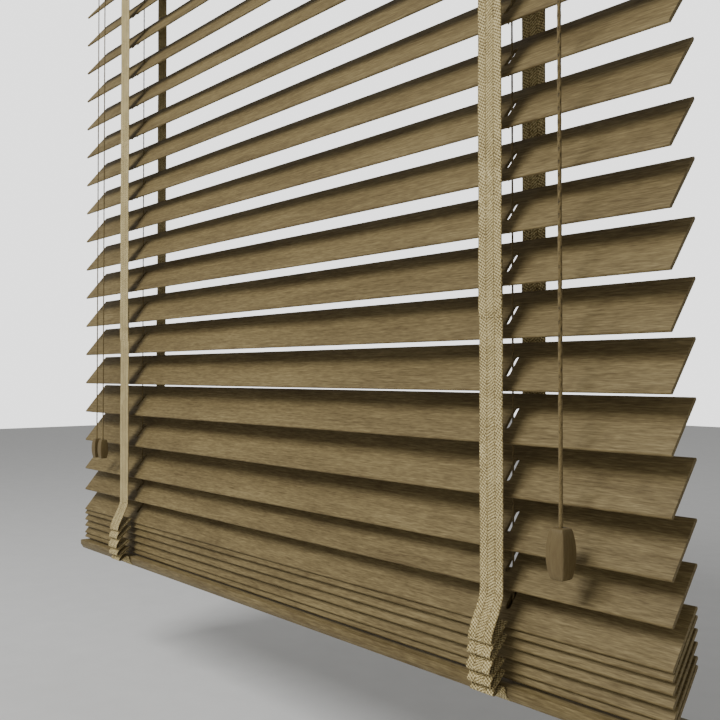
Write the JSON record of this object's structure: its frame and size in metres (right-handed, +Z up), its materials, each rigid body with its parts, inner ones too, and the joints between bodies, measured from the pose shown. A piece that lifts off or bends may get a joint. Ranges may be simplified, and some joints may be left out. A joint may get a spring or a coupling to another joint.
{
  "type": "venetian blind",
  "caption": "Wooden venetian blind with wide slats, cloth ladder tapes, a box headrail, bottom rail, corded tilter, cord lock and hanging tassels.",
  "frame": {"origin": "centre of the four top screw holes, on the upper face of the end brackets", "axes": "+X to the right along the blind seen from the room, +Y towards the window, +Z up"},
  "size_m": [0.944, 0.095, 0.9241],
  "materials": {
    "slat_wood": "satin varnished wood, lengthwise grain",
    "tassel_wood": "waxed wood",
    "tape_cloth": "herringbone woven cotton tape",
    "cord_fibre": "braided polyester cord",
    "enamel": "baked enamel",
    "plastic": "moulded nylon",
    "steel": "zinc plated"
  },
  "bodies": {
    "root": {"headrail": "enamel", "headrail_end_caps": "plastic", "bracket_left": "enamel", "bracket_right": "enamel", "bracket_gates": "enamel", "valance": "slat_wood", "valance_clips": "plastic", "tilter_case": "plastic", "drum_cradles": "plastic", "cord_lock_case": "plastic", "lift_cord_left": "cord_fibre", "lift_cord_right": "cord_fibre", "pull_cord": "cord_fibre", "tilt_cord_left": "cord_fibre", "tilt_cord_right": "cord_fibre"},
    "tilt_shaft": {"tilt_rod": "steel", "worm_wheel": "plastic", "tilt_drums": "plastic"},
    "worm_spool": {"worm_spool": "plastic"},
    "lock_pulley": {"cord_lock_pulley": "steel"},
    "lock_dog": {"cord_lock_dog": "steel"},
    "front_tapes": {"front_tapes": "tape_cloth"},
    "rear_tapes": {"rear_tapes": "tape_cloth"},
    "tilt_tassel_left": {"tilt_tassel_left": "tassel_wood"},
    "tilt_tassel_right": {"tilt_tassel_right": "tassel_wood"},
    "lift_tassel": {"lift_tassel": "tassel_wood"},
    "stack": {"tape_folds": "tape_cloth", "bottom_rail": "slat_wood", "rail_buttons": "plastic"},
    "carrier_14": {"ladder_span_14": "tape_cloth"},
    "carrier_15": {"ladder_span_15": "tape_cloth"},
    "carrier_16": {"ladder_span_16": "tape_cloth"},
    "carrier_17": {"ladder_span_17": "tape_cloth"},
    "carrier_18": {"ladder_span_18": "tape_cloth"},
    "carrier_19": {"ladder_span_19": "tape_cloth"},
    "slat_01": {"slat_01": "slat_wood"},
    "slat_02": {"slat_02": "slat_wood"},
    "slat_03": {"slat_03": "slat_wood"},
    "slat_04": {"slat_04": "slat_wood"},
    "slat_05": {"slat_05": "slat_wood"},
    "slat_06": {"slat_06": "slat_wood"},
    "slat_07": {"slat_07": "slat_wood"},
    "slat_08": {"slat_08": "slat_wood"},
    "slat_09": {"slat_09": "slat_wood"},
    "slat_10": {"slat_10": "slat_wood"},
    "slat_11": {"slat_11": "slat_wood"},
    "slat_12": {"slat_12": "slat_wood"},
    "slat_13": {"slat_13": "slat_wood"},
    "slat_14": {"slat_14": "slat_wood"},
    "slat_15": {"slat_15": "slat_wood"},
    "slat_16": {"slat_16": "slat_wood"},
    "slat_17": {"slat_17": "slat_wood"},
    "slat_18": {"slat_18": "slat_wood"},
    "slat_19": {"slat_19": "slat_wood"},
    "slat_20": {"slat_20": "slat_wood"},
    "slat_21": {"slat_21": "slat_wood"},
    "slat_22": {"slat_22": "slat_wood"},
    "slat_23": {"slat_23": "slat_wood"},
    "slat_24": {"slat_24": "slat_wood"},
    "slat_25": {"slat_25": "slat_wood"}
  },
  "joints": [
    {"name": "tilt", "type": "hinge", "parent": "root", "child": "slat_01", "pos_m": [0, 0, -0.082], "axis": [1, 0, 0], "range_deg": [-110.7, 9.3], "deforming": ["tilt_cord_left", "tilt_cord_right", "front_tapes", "rear_tapes"]},
    {"name": "slat_02_tilt", "type": "hinge", "parent": "root", "child": "slat_02", "pos_m": [0, 0, -0.1235], "axis": [1, 0, 0], "range_deg": [-110.75, 9.35]},
    {"name": "slat_03_tilt", "type": "hinge", "parent": "root", "child": "slat_03", "pos_m": [0, 0, -0.165], "axis": [1, 0, 0], "range_deg": [-110.75, 9.35]},
    {"name": "slat_04_tilt", "type": "hinge", "parent": "root", "child": "slat_04", "pos_m": [0, 0, -0.2065], "axis": [1, 0, 0], "range_deg": [-110.75, 9.35]},
    {"name": "slat_05_tilt", "type": "hinge", "parent": "root", "child": "slat_05", "pos_m": [0, 0, -0.248], "axis": [1, 0, 0], "range_deg": [-110.75, 9.35]},
    {"name": "slat_06_tilt", "type": "hinge", "parent": "root", "child": "slat_06", "pos_m": [0, 0, -0.2895], "axis": [1, 0, 0], "range_deg": [-110.75, 9.35]},
    {"name": "slat_07_tilt", "type": "hinge", "parent": "root", "child": "slat_07", "pos_m": [0, 0, -0.331], "axis": [1, 0, 0], "range_deg": [-110.75, 9.35]},
    {"name": "slat_08_tilt", "type": "hinge", "parent": "root", "child": "slat_08", "pos_m": [0, 0, -0.3725], "axis": [1, 0, 0], "range_deg": [-110.75, 9.35]},
    {"name": "slat_09_tilt", "type": "hinge", "parent": "root", "child": "slat_09", "pos_m": [0, 0, -0.414], "axis": [1, 0, 0], "range_deg": [-110.75, 9.35]},
    {"name": "slat_10_tilt", "type": "hinge", "parent": "root", "child": "slat_10", "pos_m": [0, 0, -0.4555], "axis": [1, 0, 0], "range_deg": [-110.75, 9.35]},
    {"name": "slat_11_tilt", "type": "hinge", "parent": "root", "child": "slat_11", "pos_m": [0, 0, -0.497], "axis": [1, 0, 0], "range_deg": [-110.75, 9.35]},
    {"name": "slat_12_tilt", "type": "hinge", "parent": "root", "child": "slat_12", "pos_m": [0, 0, -0.5385], "axis": [1, 0, 0], "range_deg": [-110.75, 9.35]},
    {"name": "slat_13_tilt", "type": "hinge", "parent": "root", "child": "slat_13", "pos_m": [0, 0, -0.58], "axis": [1, 0, 0], "range_deg": [-110.75, 9.35]},
    {"name": "slat_14_tilt", "type": "hinge", "parent": "carrier_14", "child": "slat_14", "pos_m": [0, 0, -0.6215], "axis": [1, 0, 0], "range_deg": [-110.75, 9.35]},
    {"name": "slat_15_tilt", "type": "hinge", "parent": "carrier_15", "child": "slat_15", "pos_m": [0, 0, -0.663], "axis": [1, 0, 0], "range_deg": [-110.75, 9.35]},
    {"name": "slat_16_tilt", "type": "hinge", "parent": "carrier_16", "child": "slat_16", "pos_m": [0, 0, -0.7045], "axis": [1, 0, 0], "range_deg": [-110.75, 9.35]},
    {"name": "slat_17_tilt", "type": "hinge", "parent": "carrier_17", "child": "slat_17", "pos_m": [0, 0, -0.746], "axis": [1, 0, 0], "range_deg": [-110.75, 9.35]},
    {"name": "slat_18_tilt", "type": "hinge", "parent": "carrier_18", "child": "slat_18", "pos_m": [0, 0, -0.7875], "axis": [1, 0, 0], "range_deg": [-110.75, 9.35]},
    {"name": "slat_19_tilt", "type": "hinge", "parent": "carrier_19", "child": "slat_19", "pos_m": [0, 0, -0.8183], "axis": [1, 0, 0], "range_deg": [-110.75, 9.35]},
    {"name": "slat_20_tilt", "type": "hinge", "parent": "stack", "child": "slat_20", "pos_m": [0, 0, -0.8476], "axis": [1, 0, 0], "range_deg": [-110.75, 9.35]},
    {"name": "slat_21_tilt", "type": "hinge", "parent": "stack", "child": "slat_21", "pos_m": [0, 0, -0.8536], "axis": [1, 0, 0], "range_deg": [-110.75, 9.35]},
    {"name": "slat_22_tilt", "type": "hinge", "parent": "stack", "child": "slat_22", "pos_m": [0, 0, -0.8625], "axis": [1, 0, 0], "range_deg": [-110.75, 9.35]},
    {"name": "slat_23_tilt", "type": "hinge", "parent": "stack", "child": "slat_23", "pos_m": [0, 0, -0.8715], "axis": [1, 0, 0], "range_deg": [-110.75, 9.35]},
    {"name": "slat_24_tilt", "type": "hinge", "parent": "stack", "child": "slat_24", "pos_m": [0, 0, -0.8814], "axis": [1, 0, 0], "range_deg": [-110.75, 9.35]},
    {"name": "slat_25_tilt", "type": "hinge", "parent": "stack", "child": "slat_25", "pos_m": [0, 0, -0.8875], "axis": [1, 0, 0], "range_deg": [-110.75, 9.35]},
    {"name": "shaft_turn", "type": "hinge", "parent": "root", "child": "tilt_shaft", "pos_m": [0, 0, -0.028], "axis": [1, 0, 0], "range_deg": [-168, 14.3]},
    {"name": "spool_turn", "type": "hinge", "parent": "root", "child": "worm_spool", "pos_m": [-0.37825, -0.035, -0.0423], "axis": [0, 1, 0], "range_deg": [-840, 72]},
    {"name": "front_tape_run", "type": "slide", "parent": "root", "child": "front_tapes", "axis": [0, 0, 1], "range_m": [-0.0036, 0.0412]},
    {"name": "rear_tape_run", "type": "slide", "parent": "root", "child": "rear_tapes", "axis": [0, 0, 1], "range_m": [-0.0412, 0.0036]},
    {"name": "left_tassel_run", "type": "slide", "parent": "root", "child": "tilt_tassel_left", "axis": [0, 0, 1], "range_m": [-0.1432, 0.0122]},
    {"name": "right_tassel_run", "type": "slide", "parent": "root", "child": "tilt_tassel_right", "axis": [0, 0, 1], "range_m": [-0.0122, 0.1432]},
    {"name": "raise", "type": "slide", "parent": "root", "child": "stack", "axis": [0, 0, 1], "range_m": [0, 0.2046], "deforming": ["lift_cord_left", "lift_cord_right", "pull_cord", "tape_folds", "ladder_span_14", "ladder_span_15", "ladder_span_16", "ladder_span_17", "ladder_span_18", "ladder_span_19"]},
    {"name": "raise_14", "type": "slide", "parent": "root", "child": "carrier_14", "axis": [0, 0, 1], "range_m": [0, 0.0328]},
    {"name": "raise_15", "type": "slide", "parent": "root", "child": "carrier_15", "axis": [0, 0, 1], "range_m": [0, 0.0653]},
    {"name": "raise_16", "type": "slide", "parent": "root", "child": "carrier_16", "axis": [0, 0, 1], "range_m": [0, 0.0978]},
    {"name": "raise_17", "type": "slide", "parent": "root", "child": "carrier_17", "axis": [0, 0, 1], "range_m": [0, 0.1303]},
    {"name": "raise_18", "type": "slide", "parent": "root", "child": "carrier_18", "axis": [0, 0, 1], "range_m": [0, 0.1628]},
    {"name": "raise_19", "type": "slide", "parent": "root", "child": "carrier_19", "axis": [0, 0, 1], "range_m": [0, 0.1846]},
    {"name": "lift_tassel_run", "type": "slide", "parent": "root", "child": "lift_tassel", "axis": [0, 0, 1], "range_m": [-0.2048, 0]},
    {"name": "pulley_turn", "type": "hinge", "parent": "root", "child": "lock_pulley", "pos_m": [0.3855, -0.035, -0.0445], "axis": [0, 1, 0], "range_deg": [0, 1467]},
    {"name": "dog_turn", "type": "hinge", "parent": "root", "child": "lock_dog", "pos_m": [0.3997, -0.035, -0.0485], "axis": [0, 1, 0], "range_deg": [-20, 0]}
  ],
  "couplings": [
    {"joint": "slat_02_tilt", "follows": "tilt", "ratio": 1},
    {"joint": "slat_03_tilt", "follows": "tilt", "ratio": 1},
    {"joint": "slat_04_tilt", "follows": "tilt", "ratio": 1},
    {"joint": "slat_05_tilt", "follows": "tilt", "ratio": 1},
    {"joint": "slat_06_tilt", "follows": "tilt", "ratio": 1},
    {"joint": "slat_07_tilt", "follows": "tilt", "ratio": 1},
    {"joint": "slat_08_tilt", "follows": "tilt", "ratio": 1},
    {"joint": "slat_09_tilt", "follows": "tilt", "ratio": 1},
    {"joint": "slat_10_tilt", "follows": "tilt", "ratio": 1},
    {"joint": "slat_11_tilt", "follows": "tilt", "ratio": 1},
    {"joint": "slat_12_tilt", "follows": "tilt", "ratio": 1},
    {"joint": "slat_13_tilt", "follows": "tilt", "ratio": 1},
    {"joint": "slat_14_tilt", "follows": "tilt", "ratio": 1},
    {"joint": "slat_15_tilt", "follows": "tilt", "ratio": 1},
    {"joint": "slat_16_tilt", "follows": "tilt", "ratio": 1},
    {"joint": "slat_17_tilt", "follows": "tilt", "ratio": 1},
    {"joint": "slat_18_tilt", "follows": "tilt", "ratio": 1},
    {"joint": "slat_19_tilt", "follows": "tilt", "ratio": 1},
    {"joint": "slat_20_tilt", "follows": "tilt", "ratio": 1},
    {"joint": "slat_21_tilt", "follows": "tilt", "ratio": 1},
    {"joint": "slat_22_tilt", "follows": "tilt", "ratio": 1},
    {"joint": "slat_23_tilt", "follows": "tilt", "ratio": 1},
    {"joint": "slat_24_tilt", "follows": "tilt", "ratio": 1},
    {"joint": "slat_25_tilt", "follows": "tilt", "ratio": 1},
    {"joint": "shaft_turn", "follows": "tilt", "ratio": 1.5152},
    {"joint": "spool_turn", "follows": "tilt", "ratio": 7.5758},
    {"joint": "front_tape_run", "follows": "tilt", "m_per_rad": -0.021212},
    {"joint": "rear_tape_run", "follows": "tilt", "m_per_rad": 0.021212},
    {"joint": "left_tassel_run", "follows": "tilt", "m_per_rad": 0.073864},
    {"joint": "right_tassel_run", "follows": "tilt", "m_per_rad": -0.073864},
    {"joint": "raise_14", "follows": "raise", "ratio": 0.15885},
    {"joint": "raise_15", "follows": "raise", "ratio": 0.31769},
    {"joint": "raise_16", "follows": "raise", "ratio": 0.47654},
    {"joint": "raise_17", "follows": "raise", "ratio": 0.63539},
    {"joint": "raise_18", "follows": "raise", "ratio": 0.79423},
    {"joint": "raise_19", "follows": "raise", "ratio": 0.90078},
    {"joint": "lift_tassel_run", "follows": "raise", "ratio": -1},
    {"joint": "pulley_turn", "follows": "raise", "rad_per_m": 125}
  ]
}
